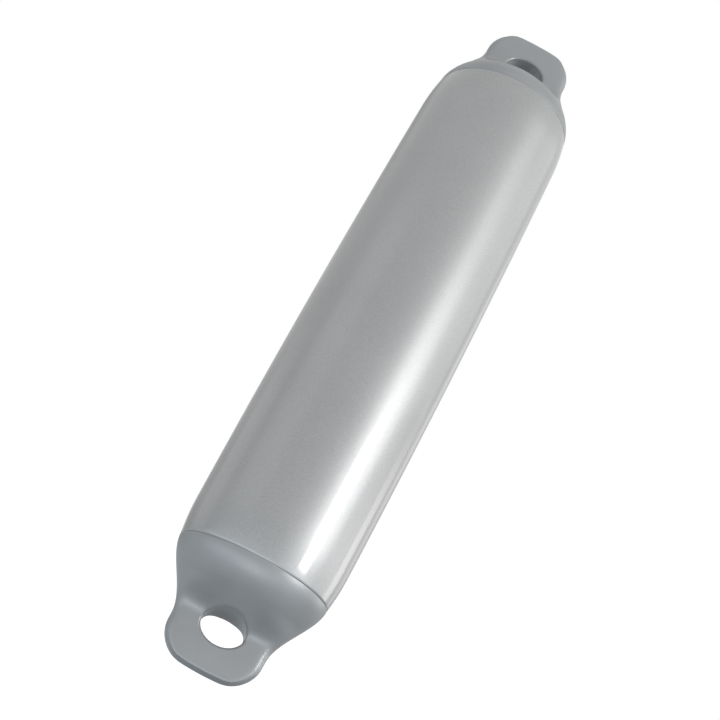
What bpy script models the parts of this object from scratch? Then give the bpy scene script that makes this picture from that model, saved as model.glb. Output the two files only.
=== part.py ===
"""Inflatable boat fender: a long vinyl cylinder with a flattened lug and an eye at each end.

The fender is one hollow moulding, sealed by a plug in a small valve seat on the shoulder of the upper end.
It hangs by its upper eye. The origin is the centre of that eye, +Z is up along the fender's axis,
X runs across the lugs and Y runs through the eyes. The valve is on the +Y side. Lengths are in metres.
"""

import math

import bmesh
import bpy
from mathutils import Vector

# The round body, from one crease to the other
BODY_DIAMETER = 0.120
BODY_LENGTH = 0.4146
BARREL_RISE = 0.0020
END_ROUND_LENGTH = 0.027
END_ROUND_DROP = 0.0022
CREASE_WIDTH = 0.0010
CREASE_DEPTH = 0.0006
END_STEP = 0.0002

# The moulded end, measured outwards from the crease. A profile is an S-curve: the higher its fullness,
# the rounder its shoulder, and the higher its flare, the softer its foot.
LUG_LENGTH = 0.0730
LUG_WIDTH = 0.0705
LUG_TAPER = 0.0010
LUG_CORNER_RADIUS = 0.0185
LUG_THICKNESS = 0.0220
LUG_EDGE_RADIUS = 0.0018
NECK_FROM_CREASE = 0.0500
NECK_FULLNESS = 1.67
NECK_FLARE = 2.1
FOOT_FROM_CREASE = 0.0495
FOOT_FULLNESS = 2.15
FOOT_FLARE = 2.1
TIP_CROWN = 0.0030

# The eye through each lug
EYE_WIDTH = 0.0316
EYE_HEIGHT = 0.0226
EYE_TO_TIP = 0.0188
EYE_RIM_RADIUS = 0.0020
EYE_MARGIN = 0.0020

# The valve plug and its seat
VALVE_FROM_CREASE = 0.0125
PLUG_HEAD_DIAMETER = 0.0110
PLUG_HEAD_HEIGHT = 0.0020
PLUG_HEAD_DOME = 0.0006
PLUG_HEAD_ROUND = 0.0006
PLUG_SHANK_DIAMETER = 0.0060
PLUG_SHANK_LENGTH = 0.0110
PLUG_TIP_CHAMFER = 0.0010
SLOT_WIDTH = 0.0014
SLOT_DEPTH = 0.0011
SEAT_CLEARANCE = 0.0003
SEAT_RECESS = 0.0006

# A cross-section's corners are round at the crease and nearly square at the lug
ROUND_EXPONENT = 2.0
LUG_FACE_EXPONENT = 14.0
LUG_SIDE_EXPONENT = 3.0
SQUARE_FROM_CREASE = 0.024
FACE_STOPS_SHORT = 0.0035
SIDE_STOPS_SHORT = 0.00275

# How finely the surfaces are divided
QUARTER = 14
SIDE_POINTS = 3
BODY_ROWS = 8
END_ROUND_ROWS = 5
SHOULDER_ROWS = 9
EYE_ROWS = 10
EYE_COLUMNS = 7
EYE_RINGS = 3
RIM_STEPS = 3
TIP_ROWS = 7
PLUG_SIDES = 24

AROUND = 4 * QUARTER
SMOOTH_ANGLE = math.radians(35)
SLOPE_STEP = 0.0001

CREASE_RADIUS = BODY_DIAMETER / 2 - BARREL_RISE - END_ROUND_DROP
END_RADIUS = CREASE_RADIUS + END_STEP
EYE_FROM_CREASE = LUG_LENGTH - EYE_TO_TIP - EYE_HEIGHT / 2
UPPER_CREASE = -EYE_FROM_CREASE
LOWER_CREASE = UPPER_CREASE - BODY_LENGTH
MIDDLE = (UPPER_CREASE + LOWER_CREASE) / 2


def clear_scene():
    for old in list(bpy.data.objects):
        bpy.data.objects.remove(old)


def mix(a, b, share):
    return a + (b - a) * share


def smooth_step(x):
    x = min(max(x, 0.0), 1.0)
    return x * x * (3 - 2 * x)


def pinched(along, length, start, end, fullness, flare):
    """An S-shaped fall from a start to an end value: full at the shoulder, and flared where it ends."""
    share = min(max(along / length, 0.0), 1.0)
    return end + (start - end) * (1 - share ** fullness) ** flare


def rounded_off(distance, end, radius):
    """How far a rounded corner has drawn in at a distance, where the corner ends at end."""
    into = min(max(distance - (end - radius), 0.0), radius)
    return radius - math.sqrt(radius * radius - into * into)


def half_width(along):
    """Half the end's width, seen along Y, where it narrows from the round shoulder to the lug."""
    lug = LUG_WIDTH / 2 + LUG_TAPER * (0.5 - along / LUG_LENGTH)
    narrowed = pinched(along, NECK_FROM_CREASE, END_RADIUS, LUG_WIDTH / 2, NECK_FULLNESS, NECK_FLARE)
    return lug + narrowed - LUG_WIDTH / 2 - rounded_off(along, LUG_LENGTH, LUG_CORNER_RADIUS)


def half_thickness(along):
    """Half the end's thickness, seen along X, where it is pinched to the lug's thickness."""
    pinch = pinched(along, FOOT_FROM_CREASE, END_RADIUS, LUG_THICKNESS / 2, FOOT_FULLNESS, FOOT_FLARE)
    return pinch - rounded_off(along, LUG_LENGTH, LUG_EDGE_RADIUS)


def squareness(along):
    """0 where the end is round, on its shoulder, and 1 where it is flat, from the neck on."""
    return smooth_step((along - SQUARE_FROM_CREASE) / (NECK_FROM_CREASE - SQUARE_FROM_CREASE))


def exponents(along):
    """How square the cross-section is towards its faces and towards its sides."""
    share = squareness(along)
    return (
        ROUND_EXPONENT * (LUG_FACE_EXPONENT / ROUND_EXPONENT) ** share,
        ROUND_EXPONENT * (LUG_SIDE_EXPONENT / ROUND_EXPONENT) ** share,
    )


def face_height(across, along):
    """How far the end's surface stands from the middle plane."""
    face, side = exponents(along)
    share = min(abs(across) / half_width(along), 1.0)
    return half_thickness(along) * (1 - share ** face) ** (1 / side)


def column_reach(column):
    """How far out a column of points runs on the lug's face, where one column runs just beside the eye."""
    beside_eye = (EYE_WIDTH / 2 + EYE_RIM_RADIUS + EYE_MARGIN) / (LUG_WIDTH / 2)
    if column <= EYE_COLUMNS:
        return beside_eye * column / EYE_COLUMNS
    outermost = 1 - FACE_STOPS_SHORT / (LUG_WIDTH / 2)
    outer_columns = QUARTER - SIDE_POINTS - 1 - EYE_COLUMNS
    return mix(beside_eye, outermost, (column - EYE_COLUMNS) / outer_columns)


def section_point(along, step):
    """Point number step, of AROUND, of the end's cross-section, as (across, through)."""
    quarter, place = divmod(step % AROUND, QUARTER)
    if quarter % 2:
        place = QUARTER - place
    face, side = exponents(along)
    square = squareness(along)
    angle = math.pi / 2 * place / QUARTER
    if place <= SIDE_POINTS:
        highest = 1 - SIDE_STOPS_SHORT / (LUG_THICKNESS / 2)
        through = mix(math.sin(angle), highest * place / SIDE_POINTS, square)
        across = (1 - through ** side) ** (1 / face)
    else:
        across = mix(math.cos(angle), column_reach(QUARTER - place), square)
        through = (1 - across ** face) ** (1 / side)
    return (
        half_width(along) * across * (1 if quarter in (0, 3) else -1),
        half_thickness(along) * through * (1 if quarter in (0, 1) else -1),
    )


def end_point(across, through, along, up):
    """A point of the upper end, or of the lower one where up is -1, whose tip is slightly crowned."""
    crown = TIP_CROWN * (2 * across / LUG_WIDTH) ** 2 * (along / LUG_LENGTH) ** 2
    crease = UPPER_CREASE if up > 0 else LOWER_CREASE
    return Vector((across, through, crease + up * (along - crown)))


def end_rows():
    """The distances from the crease at which the end has a ring of points."""
    reach = EYE_HEIGHT / 2 + EYE_RIM_RADIUS + EYE_MARGIN
    first, last = EYE_FROM_CREASE - reach, EYE_FROM_CREASE + reach
    start = CREASE_WIDTH / 2
    rows = [mix(start, first, row / SHOULDER_ROWS) for row in range(SHOULDER_ROWS)]
    rows += [mix(first, last, row / EYE_ROWS) for row in range(EYE_ROWS)]
    rows += [mix(last, LUG_LENGTH, math.sin(math.pi / 2 * row / TIP_ROWS)) for row in range(TIP_ROWS + 1)]
    return rows


def body_radius(height):
    """The radius of the barrelled body, which rolls in towards each crease."""
    out = abs(height - MIDDLE)
    rolled = max(out - (BODY_LENGTH / 2 - END_ROUND_LENGTH), 0.0) / END_ROUND_LENGTH
    return BODY_DIAMETER / 2 - BARREL_RISE * (2 * out / BODY_LENGTH) ** 2 - END_ROUND_DROP * rolled ** 2


def body_rings():
    """The round rings from the lower crease to the upper one, as (height, radius)."""
    straight = BODY_LENGTH / 2 - END_ROUND_LENGTH
    edge = BODY_LENGTH / 2 - CREASE_WIDTH / 2
    outs = [straight * row / (BODY_ROWS / 2) for row in range(BODY_ROWS // 2)]
    outs += [mix(straight, edge, row / END_ROUND_ROWS) for row in range(END_ROUND_ROWS + 1)]
    heights = [MIDDLE - out for out in reversed(outs[1:])] + [MIDDLE + out for out in outs]
    rings = [(height, body_radius(height)) for height in heights]
    groove = CREASE_RADIUS - CREASE_DEPTH
    return [(LOWER_CREASE, groove)] + rings + [(UPPER_CREASE, groove)]


def window_edge():
    """The grid points round the opening that is left for the eye, as (row, step)."""
    first, last = SHOULDER_ROWS, SHOULDER_ROWS + EYE_ROWS
    left, right = QUARTER - EYE_COLUMNS, QUARTER + EYE_COLUMNS
    edge = [(first, step) for step in range(left, right)]
    edge += [(row, right) for row in range(first, last)]
    edge += [(last, step) for step in range(right, left, -1)]
    edge += [(row, left) for row in range(last, first, -1)]
    return edge


def in_window(row, step):
    """Whether the grid cell from this point on lies in the opening for the eye, on either face."""
    nearest = min(abs(step + 0.5 - QUARTER), abs(step + 0.5 - 3 * QUARTER))
    return SHOULDER_ROWS <= row < SHOULDER_ROWS + EYE_ROWS and nearest < EYE_COLUMNS


def bridge(mesh, one, other):
    """Faces between two rings of as many vertices."""
    for a, b, c, d in zip(one, one[1:] + one[:1], other[1:] + other[:1], other):
        mesh.faces.new((a, b, c, d))


def eye_ring(edge_points, offset, share, depth, through, up, mesh):
    """A ring of vertices between the opening's edge and the eye, sunk below the lug's face by a depth."""
    ring = []
    for across, along in edge_points:
        half_across, half_along = EYE_WIDTH / 2 + offset, EYE_HEIGHT / 2 + offset
        angle = math.atan2((along - EYE_FROM_CREASE) / half_along, across / half_across)
        x = mix(across, half_across * math.cos(angle), share)
        y = mix(along, EYE_FROM_CREASE + half_along * math.sin(angle), share)
        ring.append(mesh.verts.new(end_point(x, through * (face_height(x, y) - depth), y, up)))
    return ring


def add_eye(mesh, rings, rows, up):
    """Fills the opening in both faces of a lug down to the round rim of the eye, and joins the two rims."""
    edge = window_edge()
    points = [(section_point(rows[row], step)[0], rows[row]) for row, step in edge]
    walls = []
    for through in (1, -1):
        last = [rings[row][(through * step) % AROUND] for row, step in edge]
        for row in range(1, EYE_RINGS + 1):
            ring = eye_ring(points, EYE_RIM_RADIUS, row / EYE_RINGS, 0.0, through, up, mesh)
            bridge(mesh, last, ring)
            last = ring
        for step in range(1, RIM_STEPS + 1):
            angle = math.pi / 2 * step / RIM_STEPS
            offset, depth = EYE_RIM_RADIUS * (1 - math.sin(angle)), EYE_RIM_RADIUS * (1 - math.cos(angle))
            ring = eye_ring(points, offset, 1.0, depth, through, up, mesh)
            bridge(mesh, last, ring)
            last = ring
        walls.append(last)
    bridge(mesh, *walls)


def add_end(mesh, crease, up):
    """A moulded end, from the bottom of its crease to its tip."""
    rows = end_rows()
    rings = []
    for along in rows:
        points = [(*section_point(along, step), along, up) for step in range(AROUND)]
        rings.append([mesh.verts.new(end_point(*point)) for point in points])
    bridge(mesh, crease, rings[0])
    for row, (one, other) in enumerate(zip(rings, rings[1:])):
        for step in range(AROUND):
            if not in_window(row, step):
                after = (step + 1) % AROUND
                mesh.faces.new((one[step], one[after], other[after], other[step]))
    add_eye(mesh, rings, rows, up)
    tip = rings[-1]
    mesh.faces.new((tip[0], tip[1], tip[-1]))
    mesh.faces.new((tip[2 * QUARTER], tip[2 * QUARTER - 1], tip[2 * QUARTER + 1]))
    for step in range(1, 2 * QUARTER - 1):
        mesh.faces.new((tip[step], tip[step + 1], tip[-step - 1], tip[-step]))


def new_material(name, colour, roughness, metallic=0.0):
    material = bpy.data.materials.new(name)
    material.use_nodes = True
    shader = material.node_tree.nodes["Principled BSDF"]
    shader.inputs["Base Color"].default_value = (*colour, 1.0)
    shader.inputs["Roughness"].default_value = roughness
    shader.inputs["Metallic"].default_value = metallic
    return material


def finish(name, mesh, *materials):
    """Turns a bmesh into a smooth-shaded object, its faces split along their shorter diagonals."""
    bmesh.ops.recalc_face_normals(mesh, faces=mesh.faces)
    bmesh.ops.triangulate(mesh, faces=mesh.faces, quad_method="SHORT_EDGE")
    data = bpy.data.meshes.new(name)
    mesh.to_mesh(data)
    mesh.free()
    data.shade_smooth()
    data.set_sharp_from_angle(angle=SMOOTH_ANGLE)
    for material in materials:
        data.materials.append(material)
    thing = bpy.data.objects.new(name, data)
    bpy.context.scene.collection.objects.link(thing)
    return thing


def build_fender():
    """The whole moulding: the glossy round body between two satin ends."""
    mesh = bmesh.new()
    rings = []
    for height, radius in body_rings():
        angles = [2 * math.pi * step / AROUND for step in range(AROUND)]
        rings.append([mesh.verts.new((radius * math.cos(a), radius * math.sin(a), height)) for a in angles])
    for one, other in zip(rings, rings[1:]):
        bridge(mesh, one, other)
    mesh.faces.ensure_lookup_table()
    body_faces = list(mesh.faces)
    add_end(mesh, rings[0], -1)
    add_end(mesh, rings[-1], 1)
    for face in mesh.faces:
        face.material_index = 1
    for face in body_faces:
        face.material_index = 0
    gloss = new_material("gloss_vinyl", (0.42, 0.43, 0.43), 0.25, 0.6)
    satin = new_material("satin_vinyl", (0.27, 0.29, 0.31), 0.55)
    return finish("fender", mesh, gloss, satin)


def turned(name, profile, *materials):
    """A solid turned about its own Z from (radius, height) points, bottom to top, that start and end at 0."""
    mesh = bmesh.new()
    bottom = mesh.verts.new((0.0, 0.0, profile[0][1]))
    top = mesh.verts.new((0.0, 0.0, profile[-1][1]))
    rings = []
    for radius, height in profile[1:-1]:
        angles = [2 * math.pi * step / PLUG_SIDES for step in range(PLUG_SIDES)]
        rings.append([mesh.verts.new((radius * math.cos(a), radius * math.sin(a), height)) for a in angles])
    for one, other in zip(rings, rings[1:]):
        bridge(mesh, one, other)
    for pole, ring in ((bottom, rings[0]), (top, rings[-1])):
        for a, b in zip(ring, ring[1:] + ring[:1]):
            mesh.faces.new((pole, a, b))
    return finish(name, mesh, *materials)


def box(name, size, centre):
    mesh = bmesh.new()
    bmesh.ops.create_cube(mesh, size=1.0)
    bmesh.ops.scale(mesh, vec=size, verts=mesh.verts)
    bmesh.ops.translate(mesh, vec=centre, verts=mesh.verts)
    return finish(name, mesh)


def cut(target, cutter):
    """Takes the cutter away from the target, and keeps the cutter as a wire guide."""
    modifier = target.modifiers.new(cutter.name, "BOOLEAN")
    modifier.operation = "DIFFERENCE"
    modifier.solver = "EXACT"
    modifier.object = cutter
    cutter.display_type = "WIRE"
    cutter.hide_render = True


def build_valve(fender):
    """The plug that seals the fender, in a stepped seat that is square to the shoulder's surface."""
    head_radius, shank_radius = PLUG_HEAD_DIAMETER / 2, PLUG_SHANK_DIAMETER / 2
    plug = turned("valve_plug", [
        (0.0, -PLUG_SHANK_LENGTH),
        (shank_radius - PLUG_TIP_CHAMFER, -PLUG_SHANK_LENGTH),
        (shank_radius, PLUG_TIP_CHAMFER - PLUG_SHANK_LENGTH),
        (shank_radius, 0.0),
        (head_radius, 0.0),
        (head_radius, PLUG_HEAD_HEIGHT - PLUG_HEAD_ROUND),
        (head_radius - PLUG_HEAD_ROUND, PLUG_HEAD_HEIGHT),
        (head_radius / 2, PLUG_HEAD_HEIGHT + 0.75 * PLUG_HEAD_DOME),
        (0.0, PLUG_HEAD_HEIGHT + PLUG_HEAD_DOME),
    ], new_material("plug_plastic", (0.03, 0.032, 0.035), 0.4))
    slot_top = PLUG_HEAD_HEIGHT + PLUG_HEAD_DOME - SLOT_DEPTH
    slot = box("slot_cutter", (3 * head_radius, SLOT_WIDTH, 2 * SLOT_DEPTH), (0.0, 0.0, slot_top + SLOT_DEPTH))
    seat_depth = PLUG_HEAD_HEIGHT + PLUG_HEAD_DOME + SEAT_RECESS
    seat = turned("seat_cutter", [
        (0.0, -PLUG_SHANK_LENGTH - SEAT_CLEARANCE),
        (shank_radius + SEAT_CLEARANCE, -PLUG_SHANK_LENGTH - SEAT_CLEARANCE),
        (shank_radius + SEAT_CLEARANCE, -SEAT_CLEARANCE),
        (head_radius + SEAT_CLEARANCE, -SEAT_CLEARANCE),
        (head_radius + SEAT_CLEARANCE, 2 * seat_depth),
        (0.0, 2 * seat_depth),
    ])
    along = VALVE_FROM_CREASE
    slope = (half_thickness(along + SLOPE_STEP) - half_thickness(along - SLOPE_STEP)) / (2 * SLOPE_STEP)
    outward = Vector((0.0, 1.0, -slope)).normalized()
    surface = Vector((0.0, half_thickness(along), UPPER_CREASE + along))
    for thing in (plug, slot, seat):
        thing.location = surface - outward * seat_depth
        thing.rotation_euler = outward.to_track_quat("Z", "X").to_euler()
    cut(plug, slot)
    cut(fender, seat)


clear_scene()
build_valve(build_fender())
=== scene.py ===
"""Looks of a silver-grey boat fender: a glossy vinyl body between two satin moulded ends with oval eyes.

The moulding is modelled again here with a fine surface, from the same formulas as the solid that it
replaces. Its ends are pinched a little deeper beside the eyes, and set in behind the body's rounded lips.
It hangs by its upper eye over a plain pale floor, and the camera looks up at it from below, as in the
photograph. The light is a studio's: a tall narrow soft box and broad dim ones at the right, dimmer ones at
the left, a small low lamp in front, and white paper behind.
Lengths are in metres, +Z is up along the fender's axis, and Y runs through the eyes.
"""

import math

import bmesh
import bpy
from mathutils import Matrix, Vector


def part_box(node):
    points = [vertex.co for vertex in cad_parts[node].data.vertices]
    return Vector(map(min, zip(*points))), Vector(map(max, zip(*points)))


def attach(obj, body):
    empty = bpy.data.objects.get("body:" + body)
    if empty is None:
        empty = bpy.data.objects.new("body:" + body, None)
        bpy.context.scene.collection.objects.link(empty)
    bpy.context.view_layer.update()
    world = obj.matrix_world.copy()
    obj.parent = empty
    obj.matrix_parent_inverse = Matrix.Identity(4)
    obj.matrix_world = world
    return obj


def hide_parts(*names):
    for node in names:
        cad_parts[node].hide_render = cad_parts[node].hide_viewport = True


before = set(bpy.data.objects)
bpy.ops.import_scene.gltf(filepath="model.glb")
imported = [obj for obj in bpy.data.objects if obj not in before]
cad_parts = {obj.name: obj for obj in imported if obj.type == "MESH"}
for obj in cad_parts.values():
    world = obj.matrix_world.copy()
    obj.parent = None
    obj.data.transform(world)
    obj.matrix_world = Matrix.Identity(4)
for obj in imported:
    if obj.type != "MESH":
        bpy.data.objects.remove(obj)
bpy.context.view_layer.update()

FENDER_LOW, FENDER_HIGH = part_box("fender")

# The round body, from one crease to the other
BODY_DIAMETER = FENDER_HIGH.x - FENDER_LOW.x
BARREL_RISE = 0.0020
END_ROUND_LENGTH = 0.027
END_ROUND_DROP = 0.0022

# The crease between two rounded lips, where the end's surface starts a little inside the body's
BODY_LIP_RADIUS = 0.0016
BODY_LIP_DEPTH = 0.0006
END_LIP_RADIUS = 0.0006
END_LIP_DEPTH = 0.0001
CREASE_WIDTH = 0.0003
CREASE_DEPTH = 0.00015
END_STEP = -0.0005

# The moulded end, measured outwards from the crease
LUG_LENGTH = 0.0730
LUG_WIDTH = 0.0705
LUG_TAPER = 0.0010
LUG_CORNER_RADIUS = 0.0185
LUG_THICKNESS = 0.0220
LUG_EDGE_RADIUS = 0.0018
NECK_FROM_CREASE = 0.0500
NECK_FULLNESS = 1.67
NECK_FLARE = 2.1
FOOT_FROM_CREASE = 0.0495
FOOT_FULLNESS = 2.15
FOOT_FLARE = 2.1
TIP_CROWN = 0.0030

# The lug's flat face reaches further up the shoulder on each side of the eye than on the middle line
FLANK_FROM_MIDDLE = 0.003
FLANK_FULL_FROM_MIDDLE = 0.019
FLANK_FROM_CREASE = 0.0190
FLANK_FULL_FROM_CREASE = 0.0460

# The eye through each lug
EYE_WIDTH = 0.0316
EYE_HEIGHT = 0.0226
EYE_TO_TIP = 0.0188
EYE_RIM_RADIUS = 0.0020
EYE_MARGIN = 0.0020

# The valve plug and its seat
VALVE_FROM_CREASE = 0.0125
PLUG_HEAD_DIAMETER = 0.0110
PLUG_HEAD_HEIGHT = 0.0020
PLUG_HEAD_DOME = 0.0006
PLUG_HEAD_ROUND = 0.0006
PLUG_SHANK_DIAMETER = 0.0060
PLUG_SHANK_LENGTH = 0.0110
SLOT_WIDTH = 0.0014
SLOT_DEPTH = 0.0011
SEAT_CLEARANCE = 0.0003
SEAT_RECESS = 0.0006
SEAT_LIP = 0.0005

# A cross-section's corners are round at the crease and nearly square at the lug
ROUND_EXPONENT = 2.0
LUG_FACE_EXPONENT = 14.0
LUG_SIDE_EXPONENT = 3.0
SQUARE_FROM_CREASE = 0.020
SQUARE_BY = 0.040

# How far short of the lug's corner the points on its face and on its side stop
FACE_STOPS_SHORT = 0.0035
SIDE_STOPS_SHORT = 0.00275

# How finely the surfaces are divided
QUARTER = 50
SIDE_POINTS = 10
BODY_ROWS = 90
END_ROUND_ROWS = 22
LIP_ROWS = 8
SHOULDER_ROWS = 34
EYE_ROWS = 36
EYE_COLUMNS = 27
EYE_RINGS = 7
RIM_STEPS = 7
WALL_ROWS = 6
TIP_ROWS = 22
PLUG_SIDES = 96
PLUG_STEPS = 6
PLUG_SHARP_ANGLE = math.radians(35)
MOULDING_SHARP_ANGLE = math.radians(50)
AROUND = 4 * QUARTER
SLOPE_STEP = 0.0001

CREASE_RADIUS = BODY_DIAMETER / 2 - BARREL_RISE - END_ROUND_DROP
END_RADIUS = CREASE_RADIUS + END_STEP
UPPER_CREASE = FENDER_HIGH.z - LUG_LENGTH
LOWER_CREASE = FENDER_LOW.z + LUG_LENGTH
BODY_LENGTH = UPPER_CREASE - LOWER_CREASE
MIDDLE = (UPPER_CREASE + LOWER_CREASE) / 2
EYE_FROM_CREASE = LUG_LENGTH - EYE_TO_TIP - EYE_HEIGHT / 2

# The camera, fitted to the photograph's outline
CAMERA_PLACE = (-0.0047, -0.8430, -0.6348)
CAMERA_AIM = (-0.0054, 0.0, -0.2836)
CAMERA_ROLL = math.radians(28.55)
CAMERA_LENS = 63.0
CAMERA_SENSOR = 36.0
CAMERA_CLIP_START = 0.01
CAMERA_CLIP_END = 50.0

# The colours that each surface is clouded between
GLOSS_DARK = (0.347, 0.349, 0.349)
GLOSS_LIGHT = (0.367, 0.369, 0.369)
SATIN_DARK = (0.283, 0.291, 0.296)
SATIN_LIGHT = (0.307, 0.315, 0.320)
PLUG_DARK = (0.024, 0.025, 0.028)
PLUG_LIGHT = (0.034, 0.036, 0.040)
PAPER_DARK = (0.80, 0.80, 0.80)
PAPER_LIGHT = (0.82, 0.82, 0.82)
FLAKE_CONTRAST = 0.055
BLACK = (0.0, 0.0, 0.0)
WHITE = (1.0, 1.0, 1.0)
WARM = (1.0, 0.97, 0.90)

# The floor, and its glow, which goes from to_low to to_high where X or Y goes from low to high
FLOOR_HEIGHT = -0.75
FLOOR_REACH = 30.0
FLOOR_TINT = (0.93, 1.0, 1.06)
FLOOR_IN_FRONT = dict(low=-0.05, high=-0.35, to_low=0.31, to_high=1.25)
FLOOR_AT_LEFT = dict(low=-0.05, high=-0.35, to_high=0.32)
FLOOR_FADES = dict(low=-0.8, high=-2.0, to_low=1.0, to_high=0.45)

# The room's glow, which goes from to_low to to_high in the same way, by the direction. The middle of the
# paper lies a little left of +Y.
PAPER_SIDEWAYS = -0.05
PAPER_BEHIND = dict(low=0.90, high=0.985, to_low=0.25, to_high=1.0)
ROOM_ABOVE = dict(low=0.0, high=0.6, to_high=0.55)
ROOM_IN_FRONT = dict(low=-0.2, high=-0.9, to_high=0.16)
DIM_AT_LEFT = dict(low=-0.2, high=-0.3)
DIM_BEHIND = dict(low=0.53, high=0.68)
DIM_ABOVE = dict(low=0.44, high=0.58, to_high=0.45)

# The soft boxes, which all face the fender's axis, and the low lamp
PANELS = [
    dict(name="key_low", azimuth=55.0, distance=1.5, low=-0.5, high=0.28, width=0.48, radiance=9.5,
         side=0.14, top=0.5),
    dict(name="key_mid", azimuth=56.0, distance=1.5, low=-0.1, high=0.70, width=0.46, radiance=0.45,
         side=0.15, top=0.5, foot=0.5),
    dict(name="key_high", azimuth=56.0, distance=1.5, low=0.3, high=1.1, width=0.50, radiance=0.35,
         side=0.25, top=0.5, foot=0.5),
    dict(name="glow_mid", azimuth=59.0, distance=1.6, low=-0.45, high=0.85, width=1.7, radiance=3.35,
         side=0.45, top=0.5, foot=0.4),
    dict(name="glow_high", azimuth=62.0, distance=1.6, low=0.3, high=1.6, width=1.7, radiance=0.52,
         side=0.45, top=0.4, foot=0.4),
    dict(name="right_low", azimuth=105.0, distance=1.6, low=-0.7, high=0.3, width=1.5, radiance=1.25,
         side=0.3, top=0.4, foot=0.2),
    dict(name="right_high", azimuth=105.0, distance=1.6, low=-0.1, high=1.5, width=1.5, radiance=0.58,
         side=0.3, top=0.3, foot=0.4),
    dict(name="warm_strip", azimuth=120.0, distance=1.5, low=-0.5, high=0.35, width=0.52, radiance=1.35,
         colour=WARM, side=0.2, top=0.5),
    dict(name="far_strip", azimuth=143.0, distance=1.5, low=-0.6, high=1.0, width=0.6, radiance=0.5,
         side=0.4, top=0.4),
    dict(name="left_mid", azimuth=300.0, distance=1.6, low=-0.3, high=0.9, width=1.6, radiance=0.38,
         side=0.3, top=0.3, foot=0.3),
    dict(name="left_edge", azimuth=250.0, distance=1.6, low=-0.65, high=0.45, width=1.2, radiance=0.4,
         side=0.3, top=0.3, foot=0.3),
]
LAMP_PLACE = (-0.02, -0.30, -0.72)
LAMP_AIM = (0.0, -0.056, -0.49)
LAMP_WIDTH = 0.20
LAMP_HEIGHT = 0.12
LAMP_RADIANCE = 1.5
NARROWEST_EDGE = 0.0001


def mix(a, b, share):
    return a + (b - a) * share


def smooth_step(x):
    x = min(max(x, 0.0), 1.0)
    return x * x * (3 - 2 * x)


def pinched(along, length, start, end, fullness, flare):
    """An S-shaped fall from a start to an end value: full at the shoulder, and flared where it ends."""
    share = min(max(along / length, 0.0), 1.0)
    return end + (start - end) * (1 - share ** fullness) ** flare


def rounded_off(distance, end, radius):
    """How far a rounded corner has drawn in at a distance, where the corner ends at end."""
    into = min(max(distance - (end - radius), 0.0), radius)
    return radius - math.sqrt(max(radius * radius - into * into, 0.0))


def half_width(along):
    """Half the end's width, seen along Y, where it narrows from the round shoulder to the lug."""
    lug = LUG_WIDTH / 2 + LUG_TAPER * (0.5 - along / LUG_LENGTH)
    narrowed = pinched(along, NECK_FROM_CREASE, END_RADIUS, LUG_WIDTH / 2, NECK_FULLNESS, NECK_FLARE)
    return lug + narrowed - LUG_WIDTH / 2 - rounded_off(along, LUG_LENGTH, LUG_CORNER_RADIUS)


def half_thickness(along):
    """Half the end's thickness, seen along X, where it is pinched to the lug's thickness."""
    pinch = pinched(along, FOOT_FROM_CREASE, END_RADIUS, LUG_THICKNESS / 2, FOOT_FULLNESS, FOOT_FLARE)
    return pinch - rounded_off(along, LUG_LENGTH, LUG_EDGE_RADIUS)


def flank(across, along):
    """Half the end's thickness at a distance from its middle line. The pinch is deeper on both flanks."""
    outwards = (abs(across) - FLANK_FROM_MIDDLE) / (FLANK_FULL_FROM_MIDDLE - FLANK_FROM_MIDDLE)
    onwards = (along - FLANK_FROM_CREASE) / (FLANK_FULL_FROM_CREASE - FLANK_FROM_CREASE)
    flat = LUG_THICKNESS / 2 - rounded_off(along, LUG_LENGTH, LUG_EDGE_RADIUS)
    return mix(half_thickness(along), flat, smooth_step(outwards) * smooth_step(onwards))


def squareness(along):
    """0 where the end is round, on its shoulder, and 1 where it is flat, on the lug."""
    return smooth_step((along - SQUARE_FROM_CREASE) / (SQUARE_BY - SQUARE_FROM_CREASE))


def exponents(along):
    """How square the cross-section is towards its faces and towards its sides."""
    share = squareness(along)
    return (
        ROUND_EXPONENT * (LUG_FACE_EXPONENT / ROUND_EXPONENT) ** share,
        ROUND_EXPONENT * (LUG_SIDE_EXPONENT / ROUND_EXPONENT) ** share,
    )


def face_height(across, along):
    """How far the end's surface stands from the middle plane."""
    face, side = exponents(along)
    share = min(abs(across) / half_width(along), 1.0)
    return flank(across, along) * (1 - share ** face) ** (1 / side)


def column_reach(column):
    """How far out a column of points runs on the lug's face, where one column runs just beside the eye."""
    beside_eye = (EYE_WIDTH / 2 + EYE_RIM_RADIUS + EYE_MARGIN) / (LUG_WIDTH / 2)
    if column <= EYE_COLUMNS:
        return beside_eye * column / EYE_COLUMNS
    outermost = 1 - FACE_STOPS_SHORT / (LUG_WIDTH / 2)
    outer_columns = QUARTER - SIDE_POINTS - 1 - EYE_COLUMNS
    return mix(beside_eye, outermost, (column - EYE_COLUMNS) / outer_columns)


def section_point(along, step):
    """Point number step, of AROUND, of the end's cross-section, as (across, through)."""
    quarter, place = divmod(step % AROUND, QUARTER)
    if quarter % 2:
        place = QUARTER - place
    face, side = exponents(along)
    square = squareness(along)
    angle = math.pi / 2 * place / QUARTER
    if place <= SIDE_POINTS:
        highest = 1 - SIDE_STOPS_SHORT / (LUG_THICKNESS / 2)
        through = mix(math.sin(angle), highest * place / SIDE_POINTS, square)
        across = (1 - through ** side) ** (1 / face)
    else:
        across = mix(math.cos(angle), column_reach(QUARTER - place), square)
        through = (1 - across ** face) ** (1 / side)
    across *= half_width(along) * (1 if quarter in (0, 3) else -1)
    through *= flank(across, along) * (1 if quarter in (0, 1) else -1)
    return across, through


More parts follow.
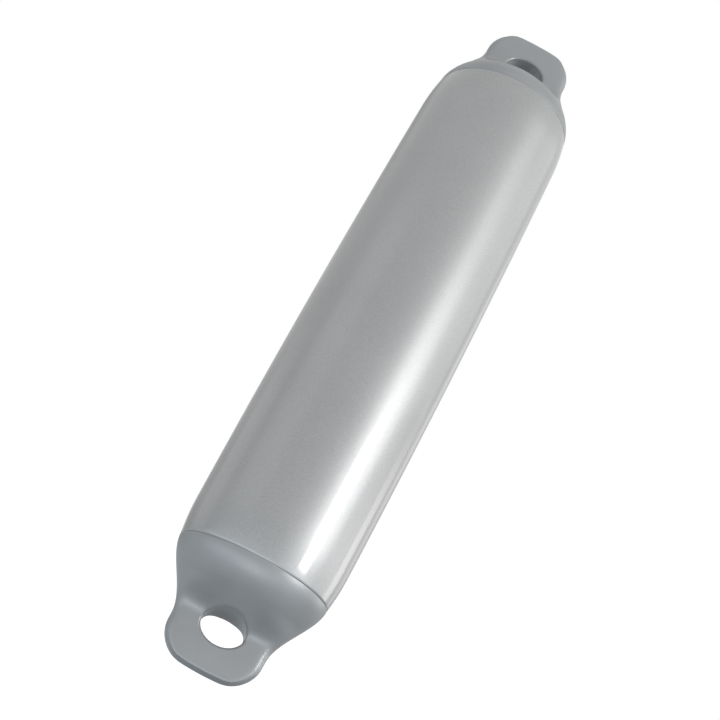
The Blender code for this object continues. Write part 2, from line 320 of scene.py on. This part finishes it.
def end_point(across, through, along, up):
    """A point of the upper end, or of the lower one where up is -1, whose tip is slightly crowned."""
    crown = TIP_CROWN * (2 * across / LUG_WIDTH) ** 2 * (along / LUG_LENGTH) ** 2
    crease = UPPER_CREASE if up > 0 else LOWER_CREASE
    return Vector((across, through, crease + up * (along - crown)))


def end_rows():
    """The distances from the crease at which the end has a ring of points, past its own lip."""
    reach = EYE_HEIGHT / 2 + EYE_RIM_RADIUS + EYE_MARGIN
    first, last = EYE_FROM_CREASE - reach, EYE_FROM_CREASE + reach
    start = CREASE_WIDTH / 2 + END_LIP_RADIUS
    rows = [mix(start, first, row / SHOULDER_ROWS) for row in range(SHOULDER_ROWS)]
    rows += [mix(first, last, row / EYE_ROWS) for row in range(EYE_ROWS)]
    rows += [mix(last, LUG_LENGTH, math.sin(math.pi / 2 * row / TIP_ROWS)) for row in range(TIP_ROWS + 1)]
    return rows


def body_radius(height):
    """The radius of the barrelled body, which rolls in towards each crease."""
    out = abs(height - MIDDLE)
    rolled = max(out - (BODY_LENGTH / 2 - END_ROUND_LENGTH), 0.0) / END_ROUND_LENGTH
    return BODY_DIAMETER / 2 - BARREL_RISE * (2 * out / BODY_LENGTH) ** 2 - END_ROUND_DROP * rolled ** 2


def lip_steps(radius, depth):
    """A rounded lip from its start to its edge, as (back from the edge, down from the surface)."""
    steps = []
    for row in range(LIP_ROWS + 1):
        angle = math.pi / 2 * row / LIP_ROWS
        steps.append((radius * (1 - math.sin(angle)), depth * (1 - math.cos(angle))))
    return steps


def body_rings():
    """The round rings of the body's upper half, from the middle to the bottom of the crease."""
    straight = BODY_LENGTH / 2 - END_ROUND_LENGTH
    edge = BODY_LENGTH / 2 - CREASE_WIDTH / 2
    outs = [straight * row / (BODY_ROWS / 2) for row in range(BODY_ROWS // 2)]
    outs += [mix(straight, edge - BODY_LIP_RADIUS, row / END_ROUND_ROWS) for row in range(END_ROUND_ROWS)]
    rings = [(out, body_radius(MIDDLE + out)) for out in outs]
    for back, down in lip_steps(BODY_LIP_RADIUS, BODY_LIP_DEPTH):
        rings.append((edge - back, body_radius(MIDDLE + edge - back) - down))
    rings.append((BODY_LENGTH / 2, END_RADIUS - CREASE_DEPTH))
    return rings


def window_edge():
    """The grid points round the opening that is left for the eye, as (row, step)."""
    first, last = SHOULDER_ROWS, SHOULDER_ROWS + EYE_ROWS
    left, right = QUARTER - EYE_COLUMNS, QUARTER + EYE_COLUMNS
    edge = [(first, step) for step in range(left, right)]
    edge += [(row, right) for row in range(first, last)]
    edge += [(last, step) for step in range(right, left, -1)]
    edge += [(row, left) for row in range(last, first, -1)]
    return edge


def in_window(row, step):
    """Whether the grid cell from this point on lies in the opening for the eye, on either face."""
    nearest = min(abs(step + 0.5 - QUARTER), abs(step + 0.5 - 3 * QUARTER))
    return SHOULDER_ROWS <= row < SHOULDER_ROWS + EYE_ROWS and nearest < EYE_COLUMNS


def round_ring(mesh, radius, height, sides):
    """A circle of vertices about the Z axis."""
    angles = [2 * math.pi * step / sides for step in range(sides)]
    return [mesh.verts.new((radius * math.cos(a), radius * math.sin(a), height)) for a in angles]


def bridge(mesh, one, other):
    """Faces between two rings of as many vertices."""
    for a, b, c, d in zip(one, one[1:] + one[:1], other[1:] + other[:1], other):
        mesh.faces.new((a, b, c, d))


def eye_ring(mesh, edge_points, offset, share, depth, through, up):
    """A ring of vertices between the opening's edge and the eye, sunk below the lug's face by a depth."""
    ring = []
    for across, along in edge_points:
        half_across, half_along = EYE_WIDTH / 2 + offset, EYE_HEIGHT / 2 + offset
        angle = math.atan2((along - EYE_FROM_CREASE) / half_along, across / half_across)
        x = mix(across, half_across * math.cos(angle), share)
        y = mix(along, EYE_FROM_CREASE + half_along * math.sin(angle), share)
        ring.append(mesh.verts.new(end_point(x, through * (face_height(x, y) - depth), y, up)))
    return ring


def wall_between(mesh, one, other):
    """The eye's wall, in rows of faces from one rim to the other."""
    last = one
    for row in range(1, WALL_ROWS):
        ring = [mesh.verts.new(a.co.lerp(b.co, row / WALL_ROWS)) for a, b in zip(one, other)]
        bridge(mesh, last, ring)
        last = ring
    bridge(mesh, last, other)


def add_eye(mesh, rings, rows, up):
    """Fills the opening in both faces of a lug down to the round rim of the eye, and joins the two rims."""
    edge = window_edge()
    points = [(section_point(rows[row], step)[0], rows[row]) for row, step in edge]
    walls = []
    for through in (1, -1):
        last = [rings[row][(through * step) % AROUND] for row, step in edge]
        for row in range(1, EYE_RINGS + 1):
            ring = eye_ring(mesh, points, EYE_RIM_RADIUS, row / EYE_RINGS, 0.0, through, up)
            bridge(mesh, last, ring)
            last = ring
        for step in range(1, RIM_STEPS + 1):
            angle = math.pi / 2 * step / RIM_STEPS
            offset = EYE_RIM_RADIUS * (1 - math.sin(angle))
            depth = EYE_RIM_RADIUS * (1 - math.cos(angle))
            ring = eye_ring(mesh, points, offset, 1.0, depth, through, up)
            bridge(mesh, last, ring)
            last = ring
        walls.append(last)
    wall_between(mesh, *walls)


def add_end(mesh, crease, up):
    """A moulded end, from the bottom of its crease over its own lip to its tip."""
    last = crease
    for back, down in reversed(lip_steps(END_LIP_RADIUS, END_LIP_DEPTH)):
        along = CREASE_WIDTH / 2 + back
        ring = []
        for step in range(AROUND):
            across, through = section_point(along, step)
            drawn_in = 1 - down / END_RADIUS
            ring.append(mesh.verts.new(end_point(across * drawn_in, through * drawn_in, along, up)))
        bridge(mesh, last, ring)
        last = ring
    rows = end_rows()
    rings = [last]
    for along in rows[1:]:
        points = [(*section_point(along, step), along, up) for step in range(AROUND)]
        rings.append([mesh.verts.new(end_point(*point)) for point in points])
    for row, (one, other) in enumerate(zip(rings, rings[1:])):
        for step in range(AROUND):
            if not in_window(row, step):
                after = (step + 1) % AROUND
                mesh.faces.new((one[step], one[after], other[after], other[step]))
    add_eye(mesh, rings, rows, up)
    tip = rings[-1]
    mesh.faces.new((tip[0], tip[1], tip[-1]))
    mesh.faces.new((tip[2 * QUARTER], tip[2 * QUARTER - 1], tip[2 * QUARTER + 1]))
    for step in range(1, 2 * QUARTER - 1):
        mesh.faces.new((tip[step], tip[step + 1], tip[-step - 1], tip[-step]))


def make_object(name, mesh, *materials):
    """Turns a bmesh into a smooth-shaded object."""
    bmesh.ops.recalc_face_normals(mesh, faces=mesh.faces)
    data = bpy.data.meshes.new(name)
    mesh.to_mesh(data)
    mesh.free()
    data.shade_smooth()
    for material in materials:
        data.materials.append(material)
    thing = bpy.data.objects.new(name, data)
    bpy.context.scene.collection.objects.link(thing)
    return thing


def build_moulding(gloss, satin):
    """The whole moulding: the glossy round body between two satin ends."""
    mesh = bmesh.new()
    half = body_rings()
    profile = [(-out, radius) for out, radius in reversed(half[1:])] + half
    rings = []
    for out, radius in profile:
        rings.append(round_ring(mesh, radius, MIDDLE + out, AROUND))
    for one, other in zip(rings, rings[1:]):
        bridge(mesh, one, other)
    mesh.faces.ensure_lookup_table()
    body_faces = list(mesh.faces)
    add_end(mesh, rings[0], -1)
    add_end(mesh, rings[-1], 1)
    gloss_index, satin_index = 0, 1
    for face in mesh.faces:
        face.material_index = satin_index
    for face in body_faces:
        face.material_index = gloss_index
    return make_object("fender_moulding", mesh, gloss, satin)


def turned(name, profile, *materials):
    """A solid turned about its own Z from (radius, height) points, bottom to top, that start and end at 0."""
    mesh = bmesh.new()
    bottom = mesh.verts.new((0.0, 0.0, profile[0][1]))
    top = mesh.verts.new((0.0, 0.0, profile[-1][1]))
    rings = []
    for radius, height in profile[1:-1]:
        rings.append(round_ring(mesh, radius, height, PLUG_SIDES))
    for one, other in zip(rings, rings[1:]):
        bridge(mesh, one, other)
    for pole, ring in ((bottom, rings[0]), (top, rings[-1])):
        for a, b in zip(ring, ring[1:] + ring[:1]):
            mesh.faces.new((pole, a, b))
    return make_object(name, mesh, *materials)


def box(name, size, centre):
    """A plain box."""
    mesh = bmesh.new()
    bmesh.ops.create_cube(mesh, size=1.0)
    bmesh.ops.scale(mesh, vec=size, verts=mesh.verts)
    bmesh.ops.translate(mesh, vec=centre, verts=mesh.verts)
    return make_object(name, mesh)


def cut(target, cutter):
    """Takes the cutter away from the target for good, and deletes the cutter."""
    modifier = target.modifiers.new(cutter.name, "BOOLEAN")
    modifier.operation = "DIFFERENCE"
    modifier.solver = "EXACT"
    modifier.object = cutter
    bpy.context.view_layer.update()
    evaluated = target.evaluated_get(bpy.context.evaluated_depsgraph_get())
    data = bpy.data.meshes.new_from_object(evaluated)
    target.modifiers.clear()
    target.data = data
    bpy.data.objects.remove(cutter)


def valve_place():
    """Where the valve's seat lies: square to the shoulder's surface, on the +Y side of the upper end."""
    along = VALVE_FROM_CREASE
    slope = (half_thickness(along + SLOPE_STEP) - half_thickness(along - SLOPE_STEP)) / (2 * SLOPE_STEP)
    outward = Vector((0.0, 1.0, -slope)).normalized()
    surface = Vector((0.0, half_thickness(along), UPPER_CREASE + along))
    seat_depth = PLUG_HEAD_HEIGHT + PLUG_HEAD_DOME + SEAT_RECESS
    turn = outward.to_track_quat("Z", "X").to_matrix().to_4x4()
    return Matrix.Translation(surface - outward * seat_depth) @ turn, seat_depth


def rounded_corner(radius, top, size):
    """Points of a rounded outer corner of a turned profile, from its side to its top."""
    angles = [math.pi / 2 * step / PLUG_STEPS for step in range(PLUG_STEPS + 1)]
    return [(radius - size * (1 - math.cos(a)), top - size * (1 - math.sin(a))) for a in angles]


def build_valve(moulding, plastic):
    """The slotted plug, in a seat with a softened lip."""
    head_radius, shank_radius = PLUG_HEAD_DIAMETER / 2, PLUG_SHANK_DIAMETER / 2
    place, seat_depth = valve_place()
    dome = []
    for step in range(1, PLUG_STEPS):
        out = 1 - step / PLUG_STEPS
        flat_radius = head_radius - PLUG_HEAD_ROUND
        dome.append((flat_radius * out, PLUG_HEAD_HEIGHT + PLUG_HEAD_DOME * (1 - out * out)))
    plug = turned("valve_plug_cap", [
        (0.0, -PLUG_SHANK_LENGTH),
        (shank_radius, -PLUG_SHANK_LENGTH),
        (shank_radius, 0.0),
        (head_radius, 0.0),
        *rounded_corner(head_radius, PLUG_HEAD_HEIGHT, PLUG_HEAD_ROUND),
        *dome,
        (0.0, PLUG_HEAD_HEIGHT + PLUG_HEAD_DOME),
    ], plastic)
    slot_size = (3 * head_radius, SLOT_WIDTH, 2 * SLOT_DEPTH)
    cut(plug, box("slot_cutter", slot_size, (0.0, 0.0, PLUG_HEAD_HEIGHT + PLUG_HEAD_DOME)))
    plug.data.set_sharp_from_angle(angle=PLUG_SHARP_ANGLE)
    plug.data.transform(place)
    opening = head_radius + SEAT_CLEARANCE
    lip = []
    for step in range(PLUG_STEPS + 1):
        angle = math.pi / 2 * step / PLUG_STEPS
        back = SEAT_LIP * (1 - math.cos(angle))
        down = SEAT_LIP * (1 - math.sin(angle))
        lip.append((opening + back, seat_depth - down))
    seat = turned("seat_cutter", [
        (0.0, -PLUG_SHANK_LENGTH - SEAT_CLEARANCE),
        (shank_radius + SEAT_CLEARANCE, -PLUG_SHANK_LENGTH - SEAT_CLEARANCE),
        (shank_radius + SEAT_CLEARANCE, -SEAT_CLEARANCE),
        (opening, -SEAT_CLEARANCE),
        *lip,
        (opening + SEAT_LIP, 2 * seat_depth),
        (0.0, 2 * seat_depth),
    ])
    seat.data.transform(place)
    cut(moulding, seat)
    moulding.data.set_sharp_from_angle(angle=MOULDING_SHARP_ANGLE)
    return plug


class Nodes:
    """Short helpers for building a node tree."""

    def __init__(self, tree):
        self.tree = tree
        self.tree.nodes.clear()

    def add(self, kind, inputs=None, **settings):
        node = self.tree.nodes.new(kind)
        for name, value in settings.items():
            setattr(node, name, value)
        for name, value in (inputs or {}).items():
            if isinstance(value, bpy.types.NodeSocket):
                self.tree.links.new(value, node.inputs[name])
            else:
                node.inputs[name].default_value = value
        return node

    def noise(self, place, scale, detail):
        inputs = {"Vector": place, "Scale": scale, "Detail": detail}
        return self.add("ShaderNodeTexNoise", inputs).outputs["Fac"]

    def ramp(self, value, low, high, to_low=0.0, to_high=1.0):
        """Goes from to_low to to_high where the value goes from low to high, and is level past both."""
        inputs = {"Value": value, "From Min": low, "From Max": high, "To Min": to_low, "To Max": to_high}
        return self.add("ShaderNodeMapRange", inputs).outputs["Result"]

    def blend(self, share, one, other):
        """A colour between two colours, each of them a socket or three numbers."""
        node = self.add("ShaderNodeMix", data_type="RGBA")
        self.tree.links.new(share, node.inputs[0])
        for socket, colour in ((node.inputs[6], one), (node.inputs[7], other)):
            if isinstance(colour, bpy.types.NodeSocket):
                self.tree.links.new(colour, socket)
            else:
                socket.default_value = (*colour, 1.0)
        return node.outputs[2]

    def math(self, operation, one, other):
        node = self.add("ShaderNodeMath", operation=operation)
        for socket, value in zip(node.inputs, (one, other)):
            if isinstance(value, bpy.types.NodeSocket):
                self.tree.links.new(value, socket)
            else:
                socket.default_value = value
        return node.outputs["Value"]

    def edge(self, distance, width):
        """Rises smoothly from 0 at an edge to 1 at a width from it."""
        node = self.add("ShaderNodeMapRange", {"Value": distance, "From Max": max(width, NARROWEST_EDGE)})
        node.interpolation_type = "SMOOTHSTEP"
        return node.outputs["Result"]

    def bump(self, height, strength, distance):
        inputs = {"Height": height, "Strength": strength, "Distance": distance}
        return self.add("ShaderNodeBump", inputs).outputs["Normal"]


def new_material(name):
    material = bpy.data.materials.new(name)
    material.use_nodes = True
    return material, Nodes(material.node_tree)


def gloss_vinyl():
    """Clear gloss over silver flake: a sharp reflection over a broad one with a fine speckle."""
    material, nodes = new_material("gloss_vinyl")
    place = nodes.add("ShaderNodeTexCoord").outputs["Object"]
    cloud = nodes.noise(place, scale=14.0, detail=2.0)
    colour = nodes.blend(nodes.ramp(cloud, low=0.3, high=0.7), GLOSS_DARK, GLOSS_LIGHT)
    flake = nodes.noise(place, scale=1400.0, detail=2.0)
    bright = nodes.ramp(flake, low=0.35, high=0.65, to_high=FLAKE_CONTRAST)
    dark = nodes.ramp(flake, low=0.35, high=0.65, to_low=FLAKE_CONTRAST, to_high=0.0)
    colour = nodes.blend(dark, nodes.blend(bright, colour, WHITE), BLACK)
    waviness = nodes.noise(place, scale=55.0, detail=1.0)
    skin = nodes.bump(waviness, strength=0.06, distance=0.0012)
    shader = nodes.add("ShaderNodeBsdfPrincipled", {
        "Base Color": colour,
        "Metallic": 0.80,
        "Roughness": 0.50,
        "IOR": 1.5,
        "Coat Weight": 1.0,
        "Coat Roughness": 0.08,
        "Coat IOR": 1.5,
        "Coat Normal": skin,
    })
    nodes.add("ShaderNodeOutputMaterial", {"Surface": shader.outputs["BSDF"]})
    return material


def satin_vinyl():
    """The moulded ends: the same vinyl without its gloss, a little bluer."""
    material, nodes = new_material("satin_vinyl")
    place = nodes.add("ShaderNodeTexCoord").outputs["Object"]
    cloud = nodes.noise(place, scale=30.0, detail=3.0)
    colour = nodes.blend(nodes.ramp(cloud, low=0.3, high=0.7), SATIN_DARK, SATIN_LIGHT)
    grain = nodes.noise(place, scale=1400.0, detail=2.0)
    surface = nodes.bump(grain, strength=0.25, distance=0.0003)
    shader = nodes.add("ShaderNodeBsdfPrincipled", {
        "Base Color": colour,
        "Metallic": 0.40,
        "Roughness": 0.40,
        "IOR": 1.5,
        "Normal": surface,
    })
    nodes.add("ShaderNodeOutputMaterial", {"Surface": shader.outputs["BSDF"]})
    return material


def plug_plastic():
    """Dark satin plastic with a fine moulded grain."""
    material, nodes = new_material("plug_plastic")
    place = nodes.add("ShaderNodeTexCoord").outputs["Object"]
    grain = nodes.noise(place, scale=2200.0, detail=2.0)
    colour = nodes.blend(grain, PLUG_DARK, PLUG_LIGHT)
    shader = nodes.add("ShaderNodeBsdfPrincipled", {
        "Base Color": colour,
        "Roughness": nodes.ramp(grain, low=0.3, high=0.7, to_low=0.36, to_high=0.46),
        "Normal": nodes.bump(grain, strength=0.2, distance=0.0002),
    })
    nodes.add("ShaderNodeOutputMaterial", {"Surface": shader.outputs["BSDF"]})
    return material


def build_floor():
    """A plain pale floor below the camera. The camera sees it as paper, with the fender's shadow on it, and
    the fender is lit by a smooth glow in its place."""
    mesh = bmesh.new()
    bmesh.ops.create_grid(mesh, x_segments=1, y_segments=1, size=FLOOR_REACH)
    bmesh.ops.translate(mesh, vec=(0.0, 0.0, FLOOR_HEIGHT), verts=mesh.verts)
    material, nodes = new_material("floor_paper")
    place = nodes.add("ShaderNodeTexCoord").outputs["Object"]
    tone = nodes.noise(place, scale=3.0, detail=2.0)
    pale = nodes.blend(tone, PAPER_DARK, PAPER_LIGHT)
    split = nodes.add("ShaderNodeSeparateXYZ", {"Vector": place}).outputs
    in_front = nodes.ramp(split["Y"], **FLOOR_IN_FRONT)
    near = nodes.math("ADD", in_front, nodes.ramp(split["X"], **FLOOR_AT_LEFT))
    strength = nodes.math("MULTIPLY", nodes.ramp(split["Y"], **FLOOR_FADES), near)
    seen = nodes.add("ShaderNodeLightPath").outputs["Is Camera Ray"]
    paper = nodes.add("ShaderNodeBsdfDiffuse", {"Color": pale}).outputs["BSDF"]
    glow = {"Color": (*FLOOR_TINT, 1.0), "Strength": strength}
    lit = nodes.add("ShaderNodeEmission", glow).outputs["Emission"]
    shader = nodes.add("ShaderNodeMixShader", {"Fac": seen})
    nodes.tree.links.new(lit, shader.inputs[1])
    nodes.tree.links.new(paper, shader.inputs[2])
    nodes.add("ShaderNodeOutputMaterial", {"Surface": shader.outputs["Shader"]})
    floor = make_object("floor", mesh, material)


def set_world():
    """White to the camera. To the fender it is white paper straight behind, and a dim room all round that
    is brighter above and in front, and darker in its high corner behind on the left."""
    world = bpy.data.worlds.new("studio")
    world.use_nodes = True
    nodes = Nodes(world.node_tree)
    direction = nodes.add("ShaderNodeTexCoord").outputs["Generated"]
    split = nodes.add("ShaderNodeSeparateXYZ", {"Vector": direction}).outputs
    behind = nodes.math("ADD", nodes.math("MULTIPLY", split["X"], PAPER_SIDEWAYS), split["Y"])
    room = nodes.ramp(behind, **PAPER_BEHIND)
    room = nodes.math("ADD", room, nodes.ramp(split["Z"], **ROOM_ABOVE))
    room = nodes.math("ADD", room, nodes.ramp(split["Y"], **ROOM_IN_FRONT))
    corner = nodes.ramp(split["X"], **DIM_AT_LEFT)
    corner = nodes.math("MULTIPLY", corner, nodes.ramp(split["Y"], **DIM_BEHIND))
    corner = nodes.math("MULTIPLY", corner, nodes.ramp(split["Z"], **DIM_ABOVE))
    room = nodes.math("SUBTRACT", room, corner)
    seen = nodes.add("ShaderNodeLightPath").outputs["Is Camera Ray"]
    strength = nodes.math("MAXIMUM", room, seen)
    background = nodes.add("ShaderNodeBackground", {"Color": (*WHITE, 1.0), "Strength": strength})
    nodes.add("ShaderNodeOutputWorld", {"Surface": background.outputs["Background"]})
    bpy.context.scene.world = world


def add_soft_box(name, place, aim, width, height, radiance, colour=WHITE):
    """A rectangular light at a place, which faces the point that it is aimed at."""
    data = bpy.data.lights.new(name, "AREA")
    data.shape = "RECTANGLE"
    data.size = width
    data.size_y = height
    data.energy = radiance * math.pi * width * height
    data.color = colour
    light = bpy.data.objects.new(name, data)
    facing = Vector(place) - Vector(aim)
    light.matrix_world = Matrix.Translation(place) @ facing.to_track_quat("Z", "Y").to_matrix().to_4x4()
    light.visible_camera = False
    bpy.context.scene.collection.objects.link(light)
    return light


def add_panel(name, azimuth, distance, low, high, width, radiance, colour=WHITE, side=0.0, top=0.0, foot=0.0):
    """An upright soft box that faces the fender's axis, between two heights. Azimuth 0 is at the camera's
    side and 90 is at +X. Side, top and foot are the shares of it over which its light fades to an edge."""
    turn = math.radians(azimuth)
    place = Vector((distance * math.sin(turn), -distance * math.cos(turn), (low + high) / 2))
    light = add_soft_box(name, place, (0.0, 0.0, place.z), width, high - low, radiance, colour)
    light.data.use_nodes = True
    nodes = Nodes(light.data.node_tree)
    on_panel = nodes.add("ShaderNodeNewGeometry").outputs["Parametric"]
    split = nodes.add("ShaderNodeSeparateXYZ", {"Vector": on_panel}).outputs
    from_side = nodes.math("PINGPONG", split["X"], 0.5)
    strength = nodes.edge(from_side, side)
    strength = nodes.math("MULTIPLY", strength, nodes.edge(split["Y"], foot))
    from_top = nodes.math("SUBTRACT", 1.0, split["Y"])
    strength = nodes.math("MULTIPLY", strength, nodes.edge(from_top, top))
    emission = nodes.add("ShaderNodeEmission", {"Strength": strength})
    nodes.add("ShaderNodeOutputLight", {"Surface": emission.outputs["Emission"]})


def add_lights():
    for panel in PANELS:
        add_panel(**panel)
    add_soft_box("low_lamp", LAMP_PLACE, LAMP_AIM, LAMP_WIDTH, LAMP_HEIGHT, LAMP_RADIANCE)


def add_camera():
    data = bpy.data.cameras.new("camera")
    data.lens = CAMERA_LENS
    data.sensor_width = CAMERA_SENSOR
    data.clip_start = CAMERA_CLIP_START
    data.clip_end = CAMERA_CLIP_END
    camera = bpy.data.objects.new("camera", data)
    look = Vector(CAMERA_AIM) - Vector(CAMERA_PLACE)
    level = look.to_track_quat("-Z", "Y").to_matrix().to_4x4()
    camera.matrix_world = Matrix.Translation(CAMERA_PLACE) @ level @ Matrix.Rotation(CAMERA_ROLL, 4, "Z")
    bpy.context.scene.collection.objects.link(camera)
    bpy.context.scene.camera = camera


add_camera()
moulding = build_moulding(gloss_vinyl(), satin_vinyl())
plug = build_valve(moulding, plug_plastic())
for piece, node, slot in ((moulding, "fender", "vinyl"), (plug, "valve_plug", "plug")):
    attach(piece, "root")
    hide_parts(node)
build_floor()
set_world()
add_lights()
bpy.context.scene.view_settings.view_transform = "Standard"
